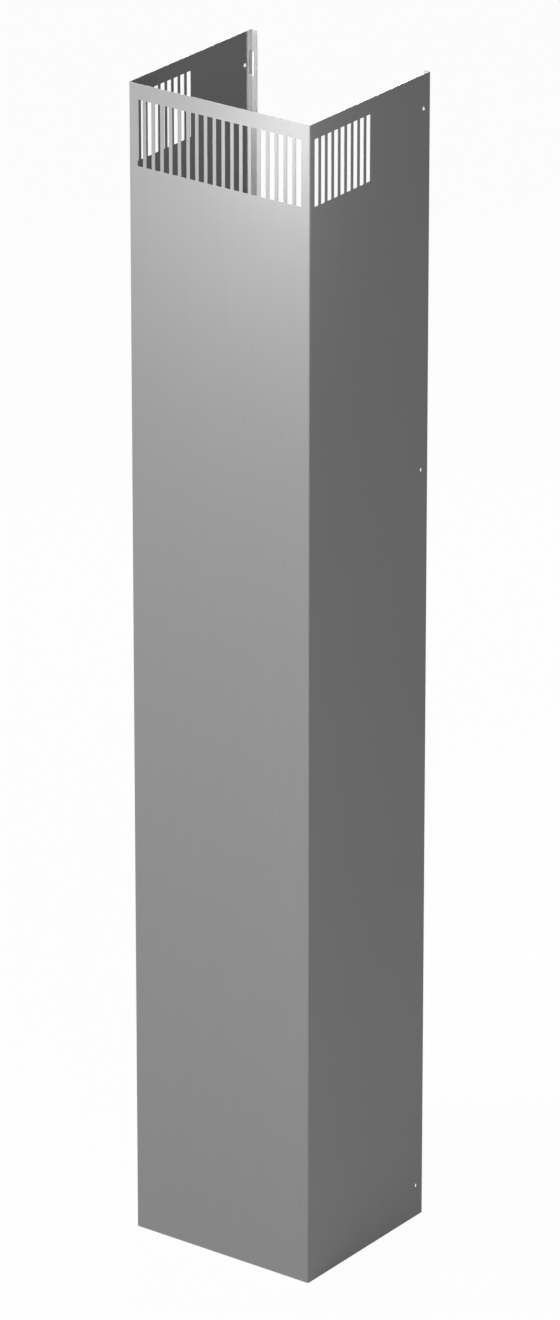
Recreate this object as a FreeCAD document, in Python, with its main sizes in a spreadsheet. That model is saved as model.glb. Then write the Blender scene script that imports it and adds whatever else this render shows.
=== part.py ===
"""Cooker hood chimney section: one stainless sheet folded into a tall open-backed channel.

Frame: +Z up, front face towards -Y, origin under the middle of the cover on its bottom edge. Millimetres.
"""
import FreeCAD
import Part
import Sketcher

import os

NODE = "chimney_cover"

# Driving dimensions, in millimetres
SIZES = {
    # The folded channel
    "cover_width": 263.0,
    "cover_depth": 241.0,
    "cover_height": 1500.0,
    "sheet_thickness": 0.8,
    "bend_inner_radius": 1.2,
    "flange_width": 9.2,
    "flange_corner_radius": 2.5,
    # The ventilation slots along the top
    "vent_slot_width": 7.8,
    "vent_bar_width": 5.0,
    "vent_slot_height": 83.0,
    "vent_top_margin": 19.5,
    "vent_corner_margin": 9.7,
    "side_vent_reach": 121.0,
    # The screw holes in the side walls
    "fixing_hole_diameter": 5.0,
    "fixing_hole_back_distance": 13.5,
    "fixing_hole_end_distance": 42.5,
    "fixing_hole_middle_height": 1000.0,
    # The lipped hooking slots in the back flanges
    "hook_slot_width": 2.6,
    "hook_slot_length": 31.5,
    "hook_slot_wall_distance": 1.4,
    "hook_slot_drop": 1.5,
    "hook_slot_lift": 3.0,
    "hook_slot_pair_spacing": 44.0,
    "hook_lip_depth": 2.0,
    "hook_lip_bend_radius": 0.4,
}

# Places and counts that follow from the driving dimensions
LAYOUT = {
    "half_width": "Sizes.cover_width / 2",
    "wall_inside": "half_width - Sizes.sheet_thickness",
    "flange_edge": "half_width - Sizes.flange_width",
    "lip_tip": "(Sizes.cover_depth + Sizes.hook_lip_depth) / 2",
    "front_face": "-lip_tip",
    "front_inside": "front_face + Sizes.sheet_thickness",
    "back_face": "front_face + Sizes.cover_depth",
    "back_inside": "back_face - Sizes.sheet_thickness",
    "outer_bend_radius": "Sizes.bend_inner_radius + Sizes.sheet_thickness",
    "vent_pitch": "Sizes.vent_slot_width + Sizes.vent_bar_width",
    "vent_head": "Sizes.cover_height - Sizes.vent_top_margin",
    "vent_foot": "vent_head - Sizes.vent_slot_height",
    "front_vent_room": "Sizes.cover_width - 2 * Sizes.vent_corner_margin",
    "front_vent_count": "floor((front_vent_room + Sizes.vent_bar_width) / vent_pitch)",
    "front_vent_run": "(front_vent_count - 1) * vent_pitch",
    "front_vent_left": "-(front_vent_run + Sizes.vent_slot_width) / 2",
    "front_vent_right": "front_vent_left + Sizes.vent_slot_width",
    "side_vent_room": "Sizes.side_vent_reach - Sizes.vent_corner_margin",
    "side_vent_count": "floor((side_vent_room + Sizes.vent_bar_width) / vent_pitch)",
    "side_vent_run": "(side_vent_count - 1) * vent_pitch",
    "side_vent_front": "front_face + Sizes.vent_corner_margin",
    "side_vent_back": "side_vent_front + Sizes.vent_slot_width",
    "fixing_hole_row": "back_face - Sizes.fixing_hole_back_distance",
    "upper_fixing_hole": "Sizes.cover_height - Sizes.fixing_hole_end_distance",
    "slot_wall_edge": "half_width - Sizes.hook_slot_wall_distance",
    "slot_free_edge": "slot_wall_edge - Sizes.hook_slot_width",
    "slot_middle": "slot_wall_edge - Sizes.hook_slot_width / 2",
    "slot_straight": "Sizes.hook_slot_length - Sizes.hook_slot_width",
    "lip_outside": "slot_free_edge - Sizes.sheet_thickness",
    "lip_root": "lip_outside - Sizes.hook_lip_bend_radius",
    "lip_bend": "back_face + Sizes.hook_lip_bend_radius",
    "top_slot": "upper_fixing_hole - Sizes.hook_slot_drop",
    "middle_slot": "Sizes.fixing_hole_middle_height + Sizes.hook_slot_lift",
    "foot_slot": "Sizes.fixing_hole_end_distance + Sizes.hook_slot_lift",
    "pair_slot": "foot_slot + Sizes.hook_slot_pair_spacing",
}
HOOK_SLOTS = ("top_slot", "middle_slot", "pair_slot", "foot_slot")
for slot in HOOK_SLOTS:
    LAYOUT[slot + "_low"] = f"{slot} - slot_straight / 2"
    LAYOUT[slot + "_high"] = f"{slot} + slot_straight / 2"

# How sketches name their origin and the points of a line or arc, and what counts as equal
ORIGIN = (-1, 1)
START, END, CENTRE = range(1, 4)
UPRIGHT = FreeCAD.Vector(0, 0, 1)
FRONT_TO_BACK = FreeCAD.Vector(0, 1, 0)
CLOSE = 1e-4


# The document with its size sheet and its layout

def make_sheet(doc):
    """Write each driving dimension into a cell of its own and give the cell its name."""
    sheet = doc.addObject("Spreadsheet::Sheet", "Sizes")
    for row, (name, size) in enumerate(SIZES.items(), start=1):
        sheet.set(f"A{row}", name)
        sheet.set(f"B{row}", str(size))
        sheet.setAlias(f"B{row}", name)
    doc.recompute()
    return sheet


def make_layout(doc):
    """Hold every derived place as a property bound to the sheet."""
    layout = doc.addObject("App::VarSet", "Layout")
    for name, rule in LAYOUT.items():
        layout.addProperty("App::PropertyFloat", name, "Places")
        layout.setExpression(name, rule)
    doc.recompute()
    return layout


def rule_for(place):
    """Expression for a named size or place; a leading minus mirrors it."""
    sign, name = ("-", place[1:]) if place.startswith("-") else ("", place)
    return f"{sign}{'Sizes' if name in SIZES else 'Layout'}.{name}"


def number(doc, place):
    """Present value of a named size or place, in millimetres."""
    sign, name = (-1.0, place[1:]) if place.startswith("-") else (1.0, place)
    holder = doc.Sizes if name in SIZES else doc.Layout
    return sign * float(getattr(holder, name))


# Sketching helpers

def new_sketch(body, name, plane):
    """Sketch on one of the body's own origin planes."""
    sketch = body.newObject("Sketcher::SketchObject", name)
    support = [feature for feature in body.Origin.OriginFeatures if feature.Role == plane]
    sketch.AttachmentSupport = [(support[0], "")]
    sketch.MapMode = "FlatFace"
    return sketch


def drive(sketch, kind, elements, place):
    """Add a dimension to the sketch and bind it to a named size or place."""
    index = sketch.addConstraint(Sketcher.Constraint(kind, *elements, number(sketch.Document, place)))
    sketch.setExpression(f"Constraints[{index}]", rule_for(place))


def pin_point(sketch, geometry, end, spot):
    """Hold one end of a line or arc at a named spot."""
    drive(sketch, "DistanceX", (*ORIGIN, geometry, end), spot[0])
    drive(sketch, "DistanceY", (*ORIGIN, geometry, end), spot[1])


def vector(sketch, spot):
    return FreeCAD.Vector(number(sketch.Document, spot[0]), number(sketch.Document, spot[1]), 0)


def draw_outline(sketch, stretches):
    """Closed outline from stretches, each a start spot and either None for a straight line
    or an arc given as its centre spot and whether it turns anticlockwise."""
    spots = [stretch[0] for stretch in stretches]
    lines = []
    for index, (spot, arc) in enumerate(stretches):
        start = vector(sketch, spot)
        end = vector(sketch, spots[(index + 1) % len(spots)])
        if arc is None:
            lines.append((sketch.addGeometry(Part.LineSegment(start, end)), START, END))
            continue
        centre, anticlockwise = vector(sketch, arc[0]), arc[1]
        first, last = (start, end) if anticlockwise else (end, start)
        circle = Part.Circle(centre, UPRIGHT, (start - centre).Length)
        bend = Part.ArcOfCircle(circle, circle.parameter(first), circle.parameter(last))
        ends = (START, END) if anticlockwise else (END, START)
        lines.append((sketch.addGeometry(bend), *ends))
    for index, (line, start, end) in enumerate(lines):
        following = lines[(index + 1) % len(lines)]
        sketch.addConstraint(Sketcher.Constraint("Coincident", line, end, following[0], following[1]))
        pin_point(sketch, line, start, spots[index])
        arc = stretches[index][1]
        if arc is not None:
            drive(sketch, "DistanceY", (*ORIGIN, line, CENTRE), arc[0][1])


def draw_rectangle(sketch, left, bottom, right, top):
    corners = [(left, bottom), (right, bottom), (right, top), (left, top)]
    draw_outline(sketch, [(corner, None) for corner in corners])


def draw_hole(sketch, spot, diameter):
    radius = number(sketch.Document, diameter) / 2
    hole = sketch.addGeometry(Part.Circle(vector(sketch, spot), UPRIGHT, radius))
    pin_point(sketch, hole, CENTRE, spot)
    drive(sketch, "Diameter", (hole,), diameter)


# Feature helpers

def bind(feature, sizes):
    for size, place in sizes.items():
        feature.setExpression(size, rule_for(place))


def cut_through(body, name, sketch, reverse=False, both_ways=False):
    """Cut the sketch through everything on one side of its plane, or on both."""
    before = body.Shape.Volume
    cut = body.newObject("PartDesign::Pocket", name)
    cut.Profile = sketch
    cut.Type = "ThroughAll"
    cut.Reversed = reverse
    if both_ways:
        cut.SideType = "Symmetric"
    body.Document.recompute()
    if before - body.Shape.Volume < CLOSE:
        raise RuntimeError(f"{name} removes nothing")
    return cut


def repeat_along(body, name, cut, sketch, run, count):
    """Repeat a cut in a row along the sketch's own horizontal axis."""
    row = body.newObject("PartDesign::LinearPattern", name)
    row.Originals = [cut]
    row.Direction = (sketch, ["H_Axis"])
    bind(row, {"Length": run, "Occurrences": count})
    body.Tip = row
    body.Document.recompute()
    return row


def edges_along(shape, direction, test):
    """Names of the edges that run along a direction and whose two ends both pass the test."""
    names = []
    for index, edge in enumerate(shape.Edges, start=1):
        span = edge.Vertexes[-1].Point - edge.Vertexes[0].Point
        straight = span.cross(direction).Length < CLOSE
        if straight and all(test(vertex.Point) for vertex in edge.Vertexes):
            names.append(f"Edge{index}")
    return names


def round_edges(body, name, base, edges, radius):
    rounded = body.newObject("PartDesign::Fillet", name)
    rounded.Base = (base, edges)
    bind(rounded, {"Radius": radius})
    body.Document.recompute()
    return rounded


# The cover, step by step

def fold_channel(body):
    """Front panel, side walls and back flanges, with every fold rounded inside and out."""
    doc = body.Document
    section = new_sketch(body, "ChannelSection", "XY_Plane")
    corners = [
        ("-flange_edge", "back_face"), ("-half_width", "back_face"),
        ("-half_width", "front_face"), ("half_width", "front_face"),
        ("half_width", "back_face"), ("flange_edge", "back_face"),
        ("flange_edge", "back_inside"), ("wall_inside", "back_inside"),
        ("wall_inside", "front_inside"), ("-wall_inside", "front_inside"),
        ("-wall_inside", "back_inside"), ("-flange_edge", "back_inside"),
    ]
    draw_outline(section, [(corner, None) for corner in corners])
    channel = body.newObject("PartDesign::Pad", "Channel")
    channel.Profile = section
    bind(channel, {"Length": "cover_height"})
    doc.recompute()

    def bends(shape, across, front, back):
        depths = (number(doc, front), number(doc, back))
        half = number(doc, across)

        def on_bend(point):
            on_depth = any(abs(point.y - depth) < CLOSE for depth in depths)
            return on_depth and abs(abs(point.x) - half) < CLOSE

        return edges_along(shape, UPRIGHT, on_bend)

    inner = bends(channel.Shape, "wall_inside", "front_inside", "back_inside")
    inside = round_edges(body, "InnerBends", channel, inner, "bend_inner_radius")
    outer = bends(inside.Shape, "half_width", "front_face", "back_face")
    return round_edges(body, "OuterBends", inside, outer, "outer_bend_radius")


def round_flange_corners(body, base):
    """Take the sharp corners off the free ends of both flanges, top and bottom."""
    doc = body.Document
    edge = number(doc, "flange_edge")
    height = number(doc, "cover_height")

    def at_corner(point):
        at_end = min(abs(point.z), abs(point.z - height)) < CLOSE
        return at_end and abs(abs(point.x) - edge) < CLOSE

    corners = edges_along(base.Shape, FRONT_TO_BACK, at_corner)
    return round_edges(body, "FlangeCorners", base, corners, "flange_corner_radius")


def cut_vents(body):
    """A row of upright slots across the front, and a shorter row in each side wall."""
    front = new_sketch(body, "FrontVent", "XZ_Plane")
    draw_rectangle(front, "front_vent_left", "vent_foot", "front_vent_right", "vent_head")
    front_cut = cut_through(body, "FrontVentCut", front, reverse=True)
    repeat_along(body, "FrontVents", front_cut, front, "front_vent_run", "front_vent_count")
    side = new_sketch(body, "SideVent", "YZ_Plane")
    draw_rectangle(side, "side_vent_front", "vent_foot", "side_vent_back", "vent_head")
    side_cut = cut_through(body, "SideVentCut", side, both_ways=True)
    repeat_along(body, "SideVents", side_cut, side, "side_vent_run", "side_vent_count")


def drill_fixing_holes(body):
    """Screw holes near the back of both side walls: one at each end and one between."""
    holes = new_sketch(body, "FixingHole", "YZ_Plane")
    for height in ("fixing_hole_end_distance", "fixing_hole_middle_height", "upper_fixing_hole"):
        draw_hole(holes, ("fixing_hole_row", height), "fixing_hole_diameter")
    cut_through(body, "FixingHoles", holes, both_ways=True)


def cut_hook_slots(body):
    """Round-ended slots beside the fold of the right flange, each with room for a turned lip."""
    slots = new_sketch(body, "HookSlot", "XZ_Plane")
    for slot in HOOK_SLOTS:
        low, high = slot + "_low", slot + "_high"
        draw_outline(slots, [
            (("slot_free_edge", low), (("slot_middle", low), True)),
            (("slot_wall_edge", low), None),
            (("slot_wall_edge", high), (("slot_middle", high), True)),
            (("slot_free_edge", high), None),
            (("lip_root", high), None),
            (("lip_root", low), None),
        ])
    return cut_through(body, "HookSlots", slots)


def turn_hook_lip(body, slot):
    """The sheet between one slot and the flange's free end, bent backwards into a short lip."""
    section = new_sketch(body, slot + "_lip_section", "XY_Plane")
    section.setExpression("AttachmentOffset.Base.z", rule_for(slot + "_low"))
    bend_centre = ("lip_root", "lip_bend")
    draw_outline(section, [
        (("lip_root", "back_inside"), None),
        (("lip_root", "back_face"), (bend_centre, True)),
        (("lip_outside", "lip_bend"), None),
        (("lip_outside", "lip_tip"), None),
        (("slot_free_edge", "lip_tip"), None),
        (("slot_free_edge", "lip_bend"), (bend_centre, False)),
    ])
    lip = body.newObject("PartDesign::Pad", slot + "_lip")
    lip.Profile = section
    bind(lip, {"Length": "slot_straight"})
    body.Document.recompute()
    return lip


def mirror_to_left(body, features):
    """Give the left flange the same slots and lips as the right one."""
    side = [feature for feature in body.Origin.OriginFeatures if feature.Role == "YZ_Plane"]
    mirrored = body.newObject("PartDesign::Mirrored", "LeftHookSlots")
    mirrored.Originals = features
    mirrored.MirrorPlane = (side[0], [""])
    body.Tip = mirrored
    body.Document.recompute()


def build_cover(doc):
    body = doc.addObject("PartDesign::Body", "ChimneyCover")
    body.Label = NODE
    folded = fold_channel(body)
    round_flange_corners(body, folded)
    cut_vents(body)
    drill_fixing_holes(body)
    hooks = [cut_hook_slots(body)]
    for slot in HOOK_SLOTS:
        hooks.append(turn_hook_lip(body, slot))
    mirror_to_left(body, hooks)
    return body


def check_and_write(doc, body):
    """Refuse a document with a failed feature, then write the finished solid."""
    doc.recompute()
    for feature in doc.Objects:
        if "Invalid" in feature.State or "Error" in feature.State:
            raise RuntimeError(f"{feature.Name} failed")
    shape = body.Shape
    if shape.isNull() or not shape.isValid() or len(shape.Solids) != 1:
        raise RuntimeError("the cover is not one valid solid")
    os.makedirs("parts", exist_ok=True)
    shape.exportStep(f"parts/{body.Label}.step")
    box = shape.BoundBox
    print(f"{body.Label}: {box.XLength:.2f} x {box.YLength:.2f} x {box.ZLength:.2f} mm")
    print(f"volume {shape.Volume:.1f} mm3, {len(shape.Faces)} faces")


def main():
    doc = FreeCAD.newDocument("ChimneySection")
    make_sheet(doc)
    make_layout(doc)
    check_and_write(doc, build_cover(doc))


main()
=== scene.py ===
# %% [markdown]
# # A cooker hood chimney section, folded from one sheet
# The object hides the duct above a kitchen hood. It is one thin sheet of satin stainless steel, bent into a
# tall channel: a front panel, two side walls and two narrow flanges that lie against the wall behind it.
# Upright slots near the top let air out, small holes take screws, and slots in the flanges hook over
# brackets. The lesson builds that sheet the way a workshop would: draw the section, fold it, punch it, turn
# the lips, break the sharp edges, and then give the steel its finish and put it under soft light.

# %% Load the fixed frame
import math

import bmesh
import bpy
from mathutils import Euler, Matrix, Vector


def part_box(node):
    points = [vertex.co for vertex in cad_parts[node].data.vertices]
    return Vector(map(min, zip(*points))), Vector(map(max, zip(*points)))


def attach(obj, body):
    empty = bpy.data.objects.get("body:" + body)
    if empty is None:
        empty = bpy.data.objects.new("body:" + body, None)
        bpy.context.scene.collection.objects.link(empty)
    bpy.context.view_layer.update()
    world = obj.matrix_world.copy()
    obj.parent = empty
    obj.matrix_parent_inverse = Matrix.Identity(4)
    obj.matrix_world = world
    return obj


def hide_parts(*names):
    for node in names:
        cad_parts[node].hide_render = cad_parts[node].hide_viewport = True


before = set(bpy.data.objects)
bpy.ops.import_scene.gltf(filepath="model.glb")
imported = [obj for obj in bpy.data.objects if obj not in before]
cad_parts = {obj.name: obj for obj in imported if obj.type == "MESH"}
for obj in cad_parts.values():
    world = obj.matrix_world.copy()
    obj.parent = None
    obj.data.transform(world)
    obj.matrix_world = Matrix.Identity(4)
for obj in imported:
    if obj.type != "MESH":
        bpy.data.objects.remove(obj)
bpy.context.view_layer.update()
scene = bpy.context.scene
scene.view_settings.view_transform = "Standard"
print("nodes in the frame:", list(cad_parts))

# %% [markdown]
# ## The camera
# Standing the camera first means that every later step is judged from the right place. The picture was
# taken from far away with a long lens, from the right and from above, so the sides of the channel stay
# almost parallel. A point on the object, two angles and a distance say this more plainly than a matrix
# does.

# %% Stand the camera
QUARTER_TURN = math.radians(90)
LENS_MM = 226.4
SENSOR_MM = 36.0
VIEW_LIMIT = 500.0
LOOK_AT = Vector((-0.0016, 0.0011, 0.7543))
CAMERA_DISTANCE = 10.04
CAMERA_YAW = math.radians(36.376)
CAMERA_PITCH = math.radians(23.022)

camera_data = bpy.data.cameras.new("camera")
camera_data.lens = LENS_MM
camera_data.sensor_width = SENSOR_MM
camera_data.clip_end = VIEW_LIMIT
camera = bpy.data.objects.new("camera", camera_data)
scene.collection.objects.link(camera)
camera.rotation_euler = Euler((QUARTER_TURN - CAMERA_PITCH, 0, CAMERA_YAW))
backwards = camera.rotation_euler.to_matrix() @ Vector((0, 0, 1))
camera.location = LOOK_AT + backwards * CAMERA_DISTANCE
scene.camera = camera
print("camera at", tuple(round(c, 3) for c in camera.location))

# %% [markdown]
# ## Sizes of the sheet
# Sheet metal is ruled by a few numbers: the outside of the channel, the thickness of the sheet, the radius
# of a bend, and the pitch of the punched holes. They are given in millimetres, as on a drawing, and turned
# into metres once. The outside faces come from the solid's box, so the sheet can't drift away from it.

# %% Read the outside and name the sizes
MM = 0.001
SHEET = 0.8 * MM
BEND_INSIDE = 1.2 * MM
BEND_OUTSIDE = BEND_INSIDE + SHEET
LIP_DEPTH = 2.0 * MM
FLANGE_WIDTH = 9.2 * MM
FLANGE_CORNER = 2.5 * MM

low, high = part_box("chimney_cover")
right = high.x
front = low.y
back = high.y - LIP_DEPTH
height = high.z
flange_end = right - FLANGE_WIDTH
print("channel in mm:", [round(size / MM, 1) for size in (2 * right, back - front, height)])

# %% [markdown]
# ## Helpers for node trees
# Geometry Nodes suit this object, because a folded and punched sheet follows rules from end to end. A few
# small helpers keep the trees readable. They start a tree with named inputs, put nodes in it and feed their
# sockets, close it, and run it on a mesh so that the result is plain geometry. Ordinary modifiers run the
# same way.

# %% Write the tree helpers
def start_tree(name, inputs):
    """Make a geometry tree with named inputs and return it with its input sockets by name."""
    tree = bpy.data.node_groups.new(name, "GeometryNodeTree")
    tree.interface.new_socket("Geometry", in_out="INPUT", socket_type="NodeSocketGeometry")
    for label, kind in inputs.items():
        tree.interface.new_socket(label, in_out="INPUT", socket_type="NodeSocket" + kind)
    tree.interface.new_socket("Geometry", in_out="OUTPUT", socket_type="NodeSocketGeometry")
    print(name, "tree takes", len(inputs), "inputs")
    return tree, tree.nodes.new("NodeGroupInput").outputs


def put(tree, kind, feeds=None, **settings):
    """Add a node, set its options, and give each named socket a link or a plain value."""
    node = tree.nodes.new(kind)
    for option, value in settings.items():
        setattr(node, option, value)
    for socket, feed in (feeds or {}).items():
        for source in feed if isinstance(feed, list) else [feed]:
            if isinstance(source, bpy.types.NodeSocket):
                tree.links.new(source, node.inputs[socket])
            else:
                node.inputs[socket].default_value = source
    return node


def end_tree(tree, result, finish, only=None):
    """Close a tree with real geometry and a finish, on all of it or on the faces that a mask picks."""
    real = put(tree, "GeometryNodeRealizeInstances", {"Geometry": result})
    feeds = {"Geometry": real.outputs[0], "Material": finish}
    if only is not None:
        feeds["Selection"] = only
    dressed = put(tree, "GeometryNodeSetMaterial", feeds)
    put(tree, "NodeGroupOutput", {"Geometry": dressed.outputs[0]})
    print(tree.name, "tree has", len(tree.nodes), "nodes")

# %% Write the step helpers
def apply_step(name, start, kind, prepare):
    """Put one modifier on a mesh, let a function set it up, and return the result as a plain mesh."""
    worker = bpy.data.objects.new(name, start)
    scene.collection.objects.link(worker)
    step = worker.modifiers.new(kind.lower(), kind)
    prepare(step)
    graph = bpy.context.evaluated_depsgraph_get()
    mesh = bpy.data.meshes.new_from_object(worker.evaluated_get(graph), depsgraph=graph)
    worker.modifiers.remove(step)
    bpy.data.objects.remove(worker)
    mesh.name = name
    print(name, "has", len(mesh.vertices), "vertices and", len(mesh.polygons), "faces")
    return mesh


def run_tree(name, start, tree, values):
    """Run a tree on a mesh. Its inputs are set by their identifiers before it is first evaluated."""
    sockets = {item.name: item.identifier for item in tree.interface.items_tree if item.in_out == "INPUT"}

    def prepare(step):
        step.node_group = tree
        for label, value in values.items():
            step[sockets[label]] = value

    return apply_step(name, start, "NODES", prepare)


def apply_modifier(name, start, kind, **settings):
    """Run an ordinary modifier on a mesh with the given options."""

    def prepare(step):
        for option, value in settings.items():
            setattr(step, option, value)

    return apply_step(name, start, kind, prepare)

# %% [markdown]
# ## Three finishes to be filled in later
# A punched sheet shows three kinds of surface: the brushed face that was ground at the mill, the back of
# the sheet, and bare metal wherever a tool has cut through. The back of the sheet lines the inside of the
# channel, and its tone is made darker than the outside as painted shade. Naming them now lets every fold
# and cut carry its own finish from the moment it is made, so no face has to be found again afterwards.

# %% Name the finishes
outside_finish = bpy.data.materials.new("satin_outside")
# The inside finish is a darker copy of the outside steel: its lower tone is painted shade for the inside of
# the channel.
inside_finish_painted_shade = bpy.data.materials.new("satin_inside_painted_shade")
cut_finish = bpy.data.materials.new("sheared_edge")
print("finishes:", outside_finish.name, inside_finish_painted_shade.name, cut_finish.name)

# %% [markdown]
# ## Folding the sheet
# A press brake makes the channel from a flat blank. The tree below rounds the corners of a drawn line and
# lifts it to the full height, and a Solidify modifier then thickens that skin towards the inside. Starting
# from the outside face keeps the overall size exact, because the thickness grows inwards, as the drawing
# says.

# %% Build the folding tree
fold, fold_inputs = start_tree(
    "fold a strip",
    {"Bend Radius": "Float", "Bend Steps": "Int", "Height": "Float", "Outside": "Material"},
)
drawn = put(fold, "GeometryNodeMeshToCurve", {"Mesh": fold_inputs["Geometry"]})
rounded = put(
    fold,
    "GeometryNodeFilletCurve",
    {"Curve": drawn.outputs[0], "Count": fold_inputs["Bend Steps"], "Radius": fold_inputs["Bend Radius"]},
    mode="POLY",
)
foot = put(fold, "GeometryNodeCurveToMesh", {"Curve": rounded.outputs[0]})
rise = put(fold, "ShaderNodeCombineXYZ", {"Z": fold_inputs["Height"]})
lifted = put(
    fold,
    "GeometryNodeExtrudeMesh",
    {"Mesh": foot.outputs[0], "Offset": rise.outputs[0]},
    mode="EDGES",
)
end_tree(fold, lifted.outputs[0], fold_inputs["Outside"])

# %% Fold the channel
BEND_STEPS = 9


def fold_strip(name, points, radius, steps, length, drawn_side, other_side):
    """Fold a drawn line, lift it, and thicken it inwards with a finish for each side and for the rim."""
    line = bpy.data.meshes.new(name + "_line")
    line.from_pydata(points, [(i, i + 1) for i in range(len(points) - 1)], [])
    values = {"Bend Radius": radius, "Bend Steps": steps, "Height": length, "Outside": drawn_side}
    skin = run_tree(name + "_skin", line, fold, values)
    skin.materials.append(other_side)
    skin.materials.append(cut_finish)
    return apply_modifier(
        name,
        skin,
        "SOLIDIFY",
        thickness=SHEET,
        offset=-1.0,
        use_even_offset=True,
        use_quality_normals=True,
        material_offset=1,
        material_offset_rim=2,
    )


section = [
    (flange_end, back, 0),
    (right, back, 0),
    (right, front, 0),
    (-right, front, 0),
    (-right, back, 0),
    (-flange_end, back, 0),
]
folded = fold_strip(
    "folded_channel",
    section,
    radius=BEND_OUTSIDE,
    steps=BEND_STEPS,
    length=height,
    drawn_side=outside_finish,
    other_side=inside_finish_painted_shade,
)

# %% [markdown]
# ## Punching the ventilation slots
# A row of upright slots runs round both front folds, so warm air can leave at the top. A turret punch
# strikes the same tool again and again at an even pitch. The tree does that with one block on a line of
# points, and then takes all the blocks out of the sheet at once. One row of long blocks cuts both side
# walls together.

# %% Start the slot tree
slots, slot_inputs = start_tree(
    "punch rows of slots",
    {
        "Front Count": "Int",
        "Front Start": "Vector",
        "Front Block": "Vector",
        "Side Count": "Int",
        "Side Start": "Vector",
        "Side Block": "Vector",
        "Pitch": "Float",
        "Edge": "Material",
    },
)


def marked(tree, tool):
    """Mark a tool's faces, so that the cuts that it leaves in the sheet can be found by name."""
    return put(
        tree,
        "GeometryNodeStoreNamedAttribute",
        {"Geometry": tool, "Name": "cut", "Value": True},
        data_type="BOOLEAN",
        domain="FACE",
    ).outputs[0]


def cut_faces(tree):
    """The mask of the faces that a tool has cut."""
    return put(tree, "GeometryNodeInputNamedAttribute", {"Name": "cut"}, data_type="BOOLEAN").outputs[0]


def cut_out(tree, sheet, tools):
    """Take a list of tools out of the sheet."""
    return put(
        tree,
        "GeometryNodeMeshBoolean",
        {"Mesh 1": sheet, "Mesh 2": tools},
        operation="DIFFERENCE",
        solver="EXACT",
    ).outputs[0]

# %% Strike both rows
def punch_row(label, direction):
    """One row of equal blocks, from its first place along one direction."""
    step = put(slots, "ShaderNodeCombineXYZ", {direction: slot_inputs["Pitch"]})
    places = put(
        slots,
        "GeometryNodeMeshLine",
        {
            "Count": slot_inputs[label + " Count"],
            "Start Location": slot_inputs[label + " Start"],
            "Offset": step.outputs[0],
        },
    )
    block = put(slots, "GeometryNodeMeshCube", {"Size": slot_inputs[label + " Block"]})
    tool = marked(slots, block.outputs["Mesh"])
    row = put(slots, "GeometryNodeInstanceOnPoints", {"Points": places.outputs[0], "Instance": tool})
    return put(slots, "GeometryNodeRealizeInstances", {"Geometry": row.outputs[0]}).outputs[0]


punched = cut_out(slots, slot_inputs["Geometry"], [punch_row("Front", "X"), punch_row("Side", "Y")])
end_tree(slots, punched, slot_inputs["Edge"], cut_faces(slots))

# %% Punch the slots
SLOT_WIDTH = 7.8 * MM
SLOT_HEIGHT = 83.0 * MM
SLOT_PITCH = 12.8 * MM
SLOT_TOP_MARGIN = 19.5 * MM
SLOT_FOLD_MARGIN = 9.7 * MM
FRONT_SLOTS = 19
SIDE_SLOTS = 9
TOOL_REACH = 20 * MM

slot_level = height - SLOT_TOP_MARGIN - SLOT_HEIGHT / 2
first_front = -(FRONT_SLOTS - 1) / 2 * SLOT_PITCH
first_side = front + SLOT_FOLD_MARGIN + SLOT_WIDTH / 2
slotted = run_tree(
    "slotted_channel",
    folded,
    slots,
    {
        "Front Count": FRONT_SLOTS,
        "Front Start": (first_front, front, slot_level),
        "Front Block": (SLOT_WIDTH, TOOL_REACH, SLOT_HEIGHT),
        "Side Count": SIDE_SLOTS,
        "Side Start": (0, first_side, slot_level),
        "Side Block": (2 * right + TOOL_REACH, SLOT_WIDTH, SLOT_HEIGHT),
        "Pitch": SLOT_PITCH,
        "Edge": cut_finish,
    },
)

# %% [markdown]
# ## Screw holes and hooking slots
# Three screws pass through each side wall near the back, and each flange has slots that drop over the
# tongues of wall brackets. A hooking slot is a narrow rounded bar close to the fold, with a notch beside it
# where the lip will be turned. Every tool is set on points that mark its places. One that stands on the
# left is turned half round, which mirrors it without turning its faces inside out.

# %% Start the fixings tree
HALF_TURN = 2 * QUARTER_TURN

fixings, fixing_inputs = start_tree(
    "punch fixings",
    {
        "Hole Radius": "Float",
        "Hole Reach": "Float",
        "Slot Width": "Float",
        "Slot Length": "Float",
        "Notch Block": "Vector",
        "Notch Offset": "Vector",
        "Tool Depth": "Float",
        "Hole Places": "Object",
        "Slot Places": "Object",
        "Corner Tools": "Object",
        "Edge": "Material",
    },
)


def half_of(tree, size):
    """Half of a size that a tree is given."""
    return put(tree, "ShaderNodeMath", {0: size, 1: 0.5}, operation="MULTIPLY").outputs[0]


def places_of(tree, marks):
    """The points of an object that marks places, and a half turn for those on the left."""
    points = put(tree, "GeometryNodeObjectInfo", {"Object": marks})
    spot = put(tree, "GeometryNodeInputPosition")
    split = put(tree, "ShaderNodeSeparateXYZ", {0: spot.outputs[0]})
    on_left = put(tree, "ShaderNodeMath", {0: split.outputs["X"], 1: 0.0}, operation="LESS_THAN")
    angle = put(tree, "ShaderNodeMath", {0: on_left.outputs[0], 1: HALF_TURN}, operation="MULTIPLY")
    euler = put(tree, "ShaderNodeCombineXYZ", {"Y": angle.outputs[0]})
    turn = put(tree, "FunctionNodeEulerToRotation", {0: euler.outputs[0]})
    return points.outputs["Geometry"], turn.outputs[0]


def set_tools(tree, tool, places, turn):
    """Stand a shape on every place, as real geometry."""
    stood = put(
        tree,
        "GeometryNodeInstanceOnPoints",
        {"Points": places, "Instance": tool, "Rotation": turn},
    )
    return put(tree, "GeometryNodeRealizeInstances", {"Geometry": stood.outputs[0]}).outputs[0]

# %% Shape the drill
HOLE_SIDES = 32

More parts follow.
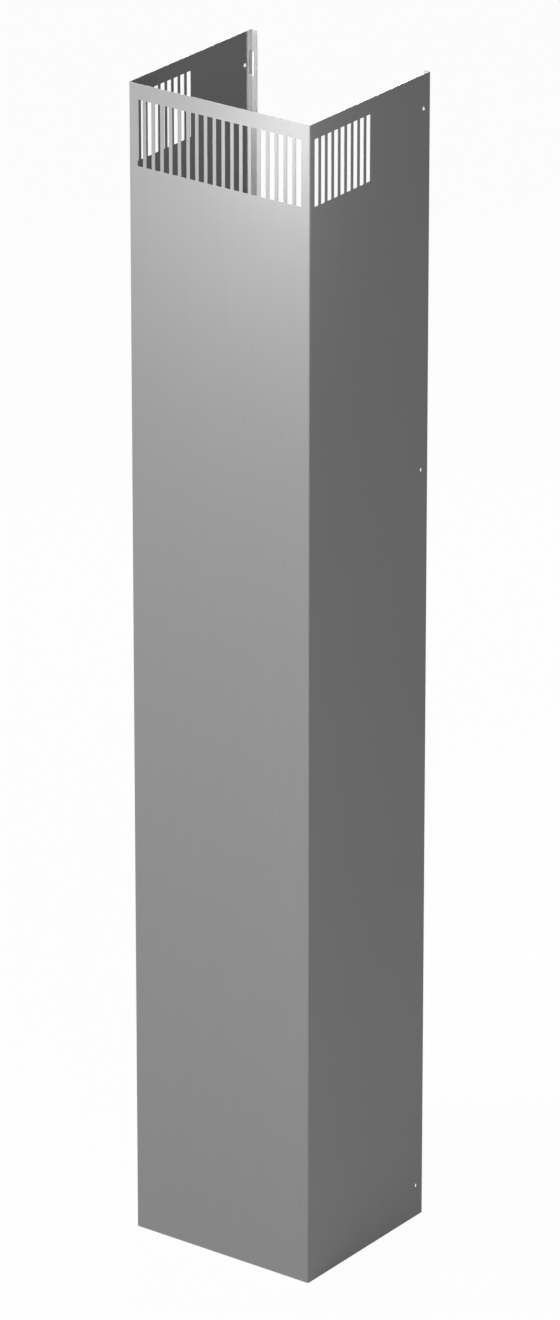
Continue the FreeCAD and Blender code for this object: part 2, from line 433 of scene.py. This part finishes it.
drill = put(
    fixings,
    "GeometryNodeMeshCylinder",
    {"Vertices": HOLE_SIDES, "Radius": fixing_inputs["Hole Radius"], "Depth": fixing_inputs["Hole Reach"]},
)
drill = put(
    fixings,
    "GeometryNodeTransform",
    {"Geometry": drill.outputs["Mesh"], "Rotation": (0, QUARTER_TURN, 0)},
)
print("the drill has", HOLE_SIDES, "sides and lies across the channel")

# %% Shape the bar of a hooking slot
ROUND_STEPS = 8
WELD_DISTANCE = 0.005 * MM

bar = put(
    fixings,
    "GeometryNodeCurvePrimitiveQuadrilateral",
    {"Width": fixing_inputs["Slot Width"], "Height": fixing_inputs["Slot Length"]},
)
bar = put(
    fixings,
    "GeometryNodeFilletCurve",
    {
        "Curve": bar.outputs[0],
        "Count": ROUND_STEPS,
        "Radius": half_of(fixings, fixing_inputs["Slot Width"]),
    },
    mode="POLY",
)
bar = put(fixings, "GeometryNodeFillCurve", {"Curve": bar.outputs[0]}, mode="NGONS")
bar_depth = put(fixings, "ShaderNodeCombineXYZ", {"Z": fixing_inputs["Tool Depth"]})
bar_top = put(
    fixings,
    "GeometryNodeExtrudeMesh",
    {"Mesh": bar.outputs[0], "Offset": bar_depth.outputs[0], "Individual": False},
    mode="FACES",
)
bar_foot = put(fixings, "GeometryNodeFlipFaces", {"Mesh": bar.outputs[0]})
bar = put(fixings, "GeometryNodeJoinGeometry", {"Geometry": [bar_top.outputs[0], bar_foot.outputs[0]]})
bar = put(
    fixings,
    "GeometryNodeMergeByDistance",
    {"Geometry": bar.outputs[0], "Distance": WELD_DISTANCE},
)
bar_middle = put(fixings, "ShaderNodeCombineXYZ", {"Y": half_of(fixings, fixing_inputs["Tool Depth"])})
bar = put(
    fixings,
    "GeometryNodeTransform",
    {
        "Geometry": bar.outputs[0],
        "Rotation": (QUARTER_TURN, 0, 0),
        "Translation": bar_middle.outputs[0],
    },
)
print("each end of the bar has", 2 * ROUND_STEPS, "steps round it")

# %% Shape the notch and cut with every tool
notch = put(fixings, "GeometryNodeMeshCube", {"Size": fixing_inputs["Notch Block"]})
notch = put(
    fixings,
    "GeometryNodeTransform",
    {"Geometry": notch.outputs["Mesh"], "Translation": fixing_inputs["Notch Offset"]},
)
hole_places, hole_turn = places_of(fixings, fixing_inputs["Hole Places"])
slot_places, slot_turn = places_of(fixings, fixing_inputs["Slot Places"])
corner = put(fixings, "GeometryNodeObjectInfo", {"Object": fixing_inputs["Corner Tools"]})
drilled = cut_out(
    fixings,
    fixing_inputs["Geometry"],
    [
        set_tools(fixings, marked(fixings, drill.outputs[0]), hole_places, hole_turn),
        set_tools(fixings, marked(fixings, bar.outputs[0]), slot_places, slot_turn),
        set_tools(fixings, marked(fixings, notch.outputs[0]), slot_places, slot_turn),
        marked(fixings, corner.outputs["Geometry"]),
    ],
)
end_tree(fixings, drilled, fixing_inputs["Edge"], cut_faces(fixings))

# %% [markdown]
# ## The rounded ends of the flanges
# The four free corners of the flanges are rounded, so that nobody is cut at the wall. A bevel would have to
# pick out these four corners among all the edges of the sheet. A cutting tool is plainer: it covers the
# square corner, and its inner side is a quarter circle, so a rounded corner stays behind when it has cut
# the flange.

# %% Build the corner tools
CORNER_STEPS = 10
CORNER_SPARE = 2 * MM
TOOL_BEFORE_FLANGE = 4 * SHEET
TOOL_BEHIND_FLANGE = 3 * SHEET


def corner_outline(side, level, inward):
    """The outline of what is cut away at one flange corner: a square with a quarter circle taken off."""
    centre_x = side * (flange_end + FLANGE_CORNER)
    centre_z = level + inward * FLANGE_CORNER
    outer_x = side * (flange_end - CORNER_SPARE)
    outer_z = level - inward * CORNER_SPARE
    outline = []
    for step in range(CORNER_STEPS + 1):
        angle = QUARTER_TURN * step / CORNER_STEPS
        x = centre_x - side * FLANGE_CORNER * math.cos(angle)
        z = centre_z - inward * FLANGE_CORNER * math.sin(angle)
        outline.append((x, z))
    return outline + [(centre_x, outer_z), (outer_x, outer_z), (outer_x, centre_z)]


blocks = bmesh.new()
for side in (1, -1):
    for level, inward in ((0, 1), (height, -1)):
        outline = corner_outline(side, level, inward)
        near = [blocks.verts.new((x, back - TOOL_BEFORE_FLANGE, z)) for x, z in outline]
        far = [blocks.verts.new((x, back + TOOL_BEHIND_FLANGE, z)) for x, z in outline]
        blocks.faces.new(near)
        blocks.faces.new(reversed(far))
        for i in range(len(outline)):
            j = (i + 1) % len(outline)
            blocks.faces.new((near[j], near[i], far[i], far[j]))
bmesh.ops.recalc_face_normals(blocks, faces=blocks.faces)
corner_mesh = bpy.data.meshes.new("corner_tools")
blocks.to_mesh(corner_mesh)
blocks.free()
corner_tools = bpy.data.objects.new("corner_tools", corner_mesh)
scene.collection.objects.link(corner_tools)
print("corner tools have", len(corner_mesh.polygons), "faces")

# %% Mark the places of the fixings
HOLE_BACK_DISTANCE = 13.5 * MM
HOLE_END_DISTANCE = 42.5 * MM
HOLE_MIDDLE_LEVEL = 1000 * MM
HOOK_WIDTH = 2.6 * MM
HOOK_WALL_DISTANCE = 1.4 * MM
HOOK_DROP = 1.5 * MM
HOOK_LIFT = 3.0 * MM
HOOK_PAIR_SPACING = 44.0 * MM

hole_levels = [HOLE_END_DISTANCE, HOLE_MIDDLE_LEVEL, height - HOLE_END_DISTANCE]
lower_hook = HOLE_END_DISTANCE + HOOK_LIFT
hook_levels = [
    lower_hook,
    lower_hook + HOOK_PAIR_SPACING,
    HOLE_MIDDLE_LEVEL + HOOK_LIFT,
    height - HOLE_END_DISTANCE - HOOK_DROP,
]
hook_middle = right - HOOK_WALL_DISTANCE - HOOK_WIDTH / 2
flange_middle = back - SHEET / 2


def marked_places(name, points):
    """An object whose points mark where a tool goes. It is removed once the sheet is punched."""
    mesh = bpy.data.meshes.new(name)
    mesh.from_pydata(points, [], [])
    marks = bpy.data.objects.new(name, mesh)
    scene.collection.objects.link(marks)
    print(name, "marks", len(points), "places")
    return marks


hole_marks = marked_places("hole_places", [(0, back - HOLE_BACK_DISTANCE, z) for z in hole_levels])
hook_marks = marked_places(
    "hook_places",
    [(side * hook_middle, flange_middle, z) for side in (1, -1) for z in hook_levels],
)

# %% Punch the fixings
HOLE_DIAMETER = 5.0 * MM
HOOK_LENGTH = 31.5 * MM
HOOK_TOOL_DEPTH = 6 * SHEET
LIP_BEND = 0.4 * MM
LIP_RUN = 0.3 * MM

hook_straight = HOOK_LENGTH - HOOK_WIDTH
lip_root = HOOK_WIDTH / 2 + SHEET + LIP_BEND + LIP_RUN
drilled_sheet = run_tree(
    "drilled_channel",
    slotted,
    fixings,
    {
        "Hole Radius": HOLE_DIAMETER / 2,
        "Hole Reach": 2 * right + TOOL_REACH,
        "Slot Width": HOOK_WIDTH,
        "Slot Length": HOOK_LENGTH,
        "Notch Block": (lip_root, HOOK_TOOL_DEPTH, hook_straight),
        "Notch Offset": (-lip_root / 2, 0, 0),
        "Tool Depth": HOOK_TOOL_DEPTH,
        "Hole Places": hole_marks,
        "Slot Places": hook_marks,
        "Corner Tools": corner_tools,
        "Edge": cut_finish,
    },
)

# %% [markdown]
# ## Turned lips
# On the free side of each hooking slot a short lip is bent backwards, so that a bracket's tongue slides in
# without being scraped by the raw edge. A lip is a little fold of the same sheet, so the folding tree makes
# it as well. The lips touch the sheet face to face at their roots: both of those faces go, and the rims are
# welded, which leaves one closed skin with nothing hidden inside it.

# %% Fold one lip
LIP_BEND_STEPS = 6

lip_foot = -hook_straight / 2
lip_section = [
    (-HOOK_WIDTH / 2, LIP_DEPTH + SHEET / 2, lip_foot),
    (-HOOK_WIDTH / 2, -SHEET / 2, lip_foot),
    (-lip_root, -SHEET / 2, lip_foot),
]
lip = fold_strip(
    "lip",
    lip_section,
    radius=LIP_BEND + SHEET,
    steps=LIP_BEND_STEPS,
    length=hook_straight,
    drawn_side=inside_finish_painted_shade,
    other_side=outside_finish,
)
lip_object = bpy.data.objects.new("lip", lip)
scene.collection.objects.link(lip_object)

# %% Build the lip tree
lips, lip_inputs = start_tree(
    "set the lips",
    {"Lip": "Object", "Slot Places": "Object", "Edge": "Material"},
)
lip_shape = put(lips, "GeometryNodeObjectInfo", {"Object": lip_inputs["Lip"]})
lip_places, lip_turn = places_of(lips, lip_inputs["Slot Places"])
set_lips = set_tools(lips, lip_shape.outputs["Geometry"], lip_places, lip_turn)
together = put(lips, "GeometryNodeJoinGeometry", {"Geometry": [lip_inputs["Geometry"], set_lips]})
end_tree(lips, together.outputs[0], lip_inputs["Edge"], cut_faces(lips))

# %% Set the lips
sheet_mesh = run_tree(
    "lipped_channel",
    drilled_sheet,
    lips,
    {"Lip": lip_object, "Slot Places": hook_marks, "Edge": cut_finish},
)
for helper in (hole_marks, hook_marks, corner_tools, lip_object):
    bpy.data.objects.remove(helper)

# %% Weld the lips to the sheet
ROOT_TOLERANCE = 0.01
FLAT_ANGLE = math.radians(0.2)


def count_open(label, skin):
    """Report edges that don't have exactly two faces, and the volume inside the skin."""
    opened = sum(1 for edge in skin.edges if len(edge.link_faces) != 2)
    print(label, "open edges:", opened, "volume:", round(skin.calc_volume() / MM**3), "cubic mm")


root_area = SHEET * hook_straight
weld = bmesh.new()
weld.from_mesh(sheet_mesh)
roots = [face for face in weld.faces if abs(face.calc_area() - root_area) < ROOT_TOLERANCE * root_area]
touching = set()
for i, one in enumerate(roots):
    for other in roots[:i]:
        if (one.calc_center_median() - other.calc_center_median()).length < WELD_DISTANCE:
            touching.update((one, other))
lip_count = len(touching) // 2
bmesh.ops.delete(weld, geom=list(touching), context="FACES")
bmesh.ops.remove_doubles(weld, verts=weld.verts, dist=WELD_DISTANCE)
count_open("welded sheet", weld)
bmesh.ops.dissolve_limit(
    weld,
    angle_limit=FLAT_ANGLE,
    verts=weld.verts,
    edges=weld.edges,
    delimit={"MATERIAL"},
)
count_open("clean sheet", weld)
weld.to_mesh(sheet_mesh)
weld.free()
print("welded", lip_count, "lips")

# %% [markdown]
# ## Breaking the sharp edges
# A punched edge is deburred before anyone handles the sheet, so every cut has a tiny bevel that catches
# light. A Bevel modifier limited by angle finds the cuts and leaves the wide bends alone. Weighted normals
# then keep the large panels perfectly flat while the bends stay smooth.

# %% Deburr and settle the normals
DEBURR = 0.08 * MM
SHARP_ANGLE = math.radians(40)
SLIVER = WELD_DISTANCE / 2
FACE_WEIGHT = 100

for face in sheet_mesh.polygons:
    face.use_smooth = True
deburred = apply_modifier(
    "deburred_channel",
    sheet_mesh,
    "BEVEL",
    width=DEBURR,
    segments=1,
    limit_method="ANGLE",
    angle_limit=SHARP_ANGLE,
    use_clamp_overlap=False,
)
trim = bmesh.new()
trim.from_mesh(deburred)
bmesh.ops.dissolve_degenerate(trim, dist=SLIVER, edges=trim.edges)
count_open("deburred sheet", trim)
trim.to_mesh(deburred)
trim.free()
finished = apply_modifier("chimney_sheet", deburred, "WEIGHTED_NORMAL", weight=FACE_WEIGHT)
sheet = bpy.data.objects.new("chimney_sheet", finished)
scene.collection.objects.link(sheet)

# %% [markdown]
# ## The satin finish
# Satin stainless steel is ground with a belt along the sheet, so fine lines run from top to bottom. They
# are too fine to model, and too regular for plain noise: stretched noise on object coordinates gives long
# thin lines that keep their direction round the folds. The grain is a node group, because all three
# finishes use it.

# %% Build the grain group
GRAIN_LINES = 900.0
GRAIN_RUN = 7.0
CLOUD_SCALE = 5.0
NOISE_DETAIL = 2.0
LINE_ROUGHNESS = 0.6
CLOUD_ROUGHNESS = 0.5

grain_group = bpy.data.node_groups.new("satin grain", "ShaderNodeTree")
for label, default in (("Lines", GRAIN_LINES), ("Run", GRAIN_RUN), ("Cloud", CLOUD_SCALE)):
    socket = grain_group.interface.new_socket(label, in_out="INPUT", socket_type="NodeSocketFloat")
    socket.default_value = default
for label in ("Line", "Cloud"):
    grain_group.interface.new_socket(label, in_out="OUTPUT", socket_type="NodeSocketFloat")
wanted = grain_group.nodes.new("NodeGroupInput").outputs
place = put(grain_group, "ShaderNodeTexCoord").outputs["Object"]
stretch = put(
    grain_group,
    "ShaderNodeCombineXYZ",
    {"X": wanted["Lines"], "Y": wanted["Lines"], "Z": wanted["Run"]},
)
drawn_out = put(
    grain_group,
    "ShaderNodeVectorMath",
    {0: place, 1: stretch.outputs[0]},
    operation="MULTIPLY",
)
lines = put(
    grain_group,
    "ShaderNodeTexNoise",
    {"Vector": drawn_out.outputs[0], "Scale": 1.0, "Detail": NOISE_DETAIL, "Roughness": LINE_ROUGHNESS},
)
cloud = put(
    grain_group,
    "ShaderNodeTexNoise",
    {"Vector": place, "Scale": wanted["Cloud"], "Detail": NOISE_DETAIL, "Roughness": CLOUD_ROUGHNESS},
)
put(grain_group, "NodeGroupOutput", {"Line": lines.outputs[0], "Cloud": cloud.outputs[0]})
print("grain group has", len(grain_group.nodes), "nodes")

# %% Write the recipe of a finish
NOISE_LOW = 0.25
NOISE_HIGH = 0.75
GRAIN_DEPTH = 0.02 * MM
STEEL_SPECULAR = 0.1


def swing(tree, noise, middle, spread):
    """Turn a noise into a value that swings evenly to both sides of its middle."""
    return put(
        tree,
        "ShaderNodeMapRange",
        {
            "Value": noise,
            "From Min": NOISE_LOW,
            "From Max": NOISE_HIGH,
            "To Min": middle - spread,
            "To Max": middle + spread,
        },
    ).outputs[0]


def fill_finish(material, tone, tone_swing, rough, rough_swing, metal, lines_per_metre, run, bump):
    """Grey steel whose tone and relief follow the grain lines and whose gloss follows a faint cloud."""
    material.use_nodes = True
    tree = material.node_tree
    tree.nodes.clear()
    grain = put(tree, "ShaderNodeGroup", node_tree=grain_group)
    grain.inputs["Lines"].default_value = lines_per_metre
    grain.inputs["Run"].default_value = run
    relief = put(
        tree,
        "ShaderNodeBump",
        {"Height": grain.outputs["Line"], "Strength": bump, "Distance": GRAIN_DEPTH},
    )
    steel = put(
        tree,
        "ShaderNodeBsdfPrincipled",
        {
            "Base Color": swing(tree, grain.outputs["Line"], tone, tone_swing),
            "Roughness": swing(tree, grain.outputs["Cloud"], rough, rough_swing),
            "Metallic": metal,
            "Specular IOR Level": STEEL_SPECULAR,
            "Normal": relief.outputs[0],
        },
    )
    put(tree, "ShaderNodeOutputMaterial", {"Surface": steel.outputs[0]})
    print(material.name, "tone", tone, "roughness", rough)

# %% Fill in the three finishes
SATIN = {
    "tone_swing": 0.008,
    "rough_swing": 0.03,
    "metal": 0.25,
    "lines_per_metre": GRAIN_LINES,
    "run": GRAIN_RUN,
    "bump": 0.2,
}
SHEARED = {
    "tone_swing": 0.03,
    "rough_swing": 0.05,
    "metal": 0.35,
    "lines_per_metre": 2500.0,
    "run": 400.0,
    "bump": 0.3,
}
fill_finish(outside_finish, tone=0.30, rough=0.38, **SATIN)
# The inside tone, 0.21 against 0.30 outside, is painted shade for the inside of the channel, where little
# light reaches.
fill_finish(inside_finish_painted_shade, tone=0.21, rough=0.42, **SATIN)
fill_finish(cut_finish, tone=0.26, rough=0.38, **SHEARED)

# %% [markdown]
# ## The burnished strips beside the back folds
# Where the folding tool rubs the inside of a wall, next to the back flange, the satin is pressed smooth.
# That narrow strip mirrors the flange beside it, so the flange looks wider than it is. A mask on object
# coordinates finds the strip: near the flange in depth, and on the wall rather than on the flange itself.

# %% Burnish the strips
STRIP_START = 11.0 * MM
STRIP_FULL = 6.0 * MM
STRIP_EDGE = 0.3 * MM
BURNISHED = {"Base Color": 0.95, "Roughness": 0.08, "Metallic": 1.0}


def burnish(material):
    """Turn the steel bright and smooth along both back folds, and leave it satin elsewhere."""
    tree = material.node_tree
    steel = tree.nodes["Principled BSDF"]
    spot = put(tree, "ShaderNodeTexCoord").outputs["Object"]
    split = put(tree, "ShaderNodeSeparateXYZ", {0: spot})
    near_flange = put(
        tree,
        "ShaderNodeMapRange",
        {
            "Value": split.outputs["Y"],
            "From Min": back - SHEET - STRIP_START,
            "From Max": back - SHEET - STRIP_FULL,
        },
        interpolation_type="SMOOTHSTEP",
    )
    aside = put(tree, "ShaderNodeMath", {0: split.outputs["X"]}, operation="ABSOLUTE")
    on_wall = put(
        tree,
        "ShaderNodeMath",
        {0: aside.outputs[0], 1: right - SHEET - STRIP_EDGE},
        operation="GREATER_THAN",
    )
    strip = put(
        tree,
        "ShaderNodeMath",
        {0: near_flange.outputs[0], 1: on_wall.outputs[0]},
        operation="MULTIPLY",
    )
    for socket, bright in BURNISHED.items():
        port = steel.inputs[socket]
        satin = port.links[0].from_socket if port.is_linked else port.default_value
        varied = put(
            tree,
            "ShaderNodeMapRange",
            {"Value": strip.outputs[0], "To Min": satin, "To Max": bright},
        )
        tree.links.new(varied.outputs[0], port)
    print(material.name, "is burnished", round(STRIP_START / MM), "mm from the back folds")


burnish(inside_finish_painted_shade)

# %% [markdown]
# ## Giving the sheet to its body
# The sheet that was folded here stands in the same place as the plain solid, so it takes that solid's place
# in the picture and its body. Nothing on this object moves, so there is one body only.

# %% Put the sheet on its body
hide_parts("chimney_cover")
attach(sheet, "root")
print("materials on the sheet:", [m.name for m in finished.materials])

# %% [markdown]
# ## Floor and surroundings
# The section stands on a plain white floor that fades into a white room. The floor is mostly its own white
# to the camera and to reflections, with a share of ordinary matt paint left in, so that the shadow of the
# channel still falls on it. Light that bounces about sees only the paint, so the room adds little light.

# %% Lay the floor
FLOOR_HALF = 150.0

floor_mesh = bpy.data.meshes.new("floor")
floor_corners = [
    (-FLOOR_HALF, -FLOOR_HALF, 0),
    (FLOOR_HALF, -FLOOR_HALF, 0),
    (FLOOR_HALF, FLOOR_HALF, 0),
    (-FLOOR_HALF, FLOOR_HALF, 0),
]
floor_mesh.from_pydata(floor_corners, [], [(0, 1, 2, 3)])
floor = bpy.data.objects.new("floor", floor_mesh)
scene.collection.objects.link(floor)
print("floor is", 2 * FLOOR_HALF, "m wide")

# %% Paint the floor and light the room
FLOOR_PAINT = 0.8
FLOOR_GLOW = 0.97
ROOM_LIGHT = 0.02
WHITE = (1, 1, 1, 1)


def seen_directly(tree):
    """One where a ray comes from the camera, a reflection or a see-through surface, zero elsewhere."""
    path = tree.nodes.new("ShaderNodeLightPath").outputs
    seen = put(
        tree,
        "ShaderNodeMath",
        {0: path["Is Camera Ray"], 1: path["Is Glossy Ray"]},
        operation="ADD",
    )
    return put(
        tree,
        "ShaderNodeMath",
        {0: seen.outputs[0], 1: path["Is Transmission Ray"]},
        operation="ADD",
        use_clamp=True,
    ).outputs[0]


paper = bpy.data.materials.new("white_floor")
paper.use_nodes = True
tree = paper.node_tree
tree.nodes.clear()
paint = put(tree, "ShaderNodeBsdfDiffuse", {"Color": (FLOOR_PAINT, FLOOR_PAINT, FLOOR_PAINT, 1)})
glow = put(tree, "ShaderNodeEmission", {"Color": WHITE, "Strength": 1.0})
share = put(tree, "ShaderNodeMath", {0: seen_directly(tree), 1: FLOOR_GLOW}, operation="MULTIPLY")
mixed = put(tree, "ShaderNodeMixShader", {0: share.outputs[0], 1: paint.outputs[0], 2: glow.outputs[0]})
put(tree, "ShaderNodeOutputMaterial", {"Surface": mixed.outputs[0]})
floor_mesh.materials.append(paper)

room = bpy.data.worlds.new("white_room")
scene.world = room
room.use_nodes = True
tree = room.node_tree
tree.nodes.clear()
level = put(
    tree,
    "ShaderNodeMapRange",
    {"Value": seen_directly(tree), "To Min": ROOM_LIGHT, "To Max": 1.0},
)
air = put(tree, "ShaderNodeBackground", {"Color": WHITE, "Strength": level.outputs[0]})
put(tree, "ShaderNodeOutputWorld", {"Surface": air.outputs[0]})
print("floor and room are white, room light", ROOM_LIGHT)

# %% [markdown]
# ## Lamps
# A large soft lamp high in front makes the front panel brightest at the top and lets it fade towards the
# floor. A small one stands where the top right of the panel mirrors it, and two more near that corner let
# the bright patch spread. A tall strip at the right front edge grazes the right wall, so that it darkens
# from front to back. Two lamps with grids, which keep a beam narrow, look down the inside on the two back
# flanges. A last lamp, behind on the left, reaches into the open back. All are hidden from the camera.

# %% Write the lamp helper
OPEN_ANGLE = HALF_TURN


def hang_lamp(name, place, aim, size, watts, spread=OPEN_ANGLE):
    """A soft rectangular lamp that points at a place on the object, with a grid if its beam is narrow."""
    data = bpy.data.lights.new(name, "AREA")
    data.shape = "RECTANGLE"
    data.size, data.size_y = size
    data.energy = watts
    data.spread = spread
    lamp = bpy.data.objects.new(name, data)
    scene.collection.objects.link(lamp)
    lamp.location = place
    lamp.rotation_euler = (Vector(aim) - Vector(place)).to_track_quat("-Z", "Y").to_euler()
    lamp.visible_camera = False
    print(name, "at", place, watts, "W")

# %% Hang the lamps
GRID_ANGLE = math.radians(36)

hang_lamp("key_lamp", place=(-0.95, -2.0, 2.25), aim=(0, -0.12, 1.1), size=(0.8, 0.8), watts=59.0)
hang_lamp(
    "gleam_lamp",
    place=(-0.097, -0.426, 1.372),
    aim=(0.13, -0.12, 1.5),
    size=(0.10, 0.10),
    watts=0.26,
)
hang_lamp("bloom_lamp", place=(0.14, -0.40, 1.48), aim=(0.11, -0.12, 1.40), size=(0.06, 0.30), watts=0.37)
hang_lamp("corner_lamp", place=(0.20, -0.32, 1.50), aim=(0.11, -0.12, 1.42), size=(0.06, 0.20), watts=0.34)
hang_lamp("edge_strip", place=(0.45, -0.6, 0.75), aim=(0.13, -0.1, 0.75), size=(0.10, 1.5), watts=1.25)
for name, side in (("left_flange_lamp", -1), ("right_flange_lamp", 1)):
    hang_lamp(
        name,
        place=(side * 0.127, -0.20, 1.95),
        aim=(side * 0.126, 0.119, 1.40),
        size=(0.01, 0.06),
        watts=0.77,
        spread=GRID_ANGLE,
    )
hang_lamp("back_lamp", place=(-1.6, 2.4, 2.0), aim=(0, 0.1, 0.8), size=(1.0, 1.0), watts=35.0)
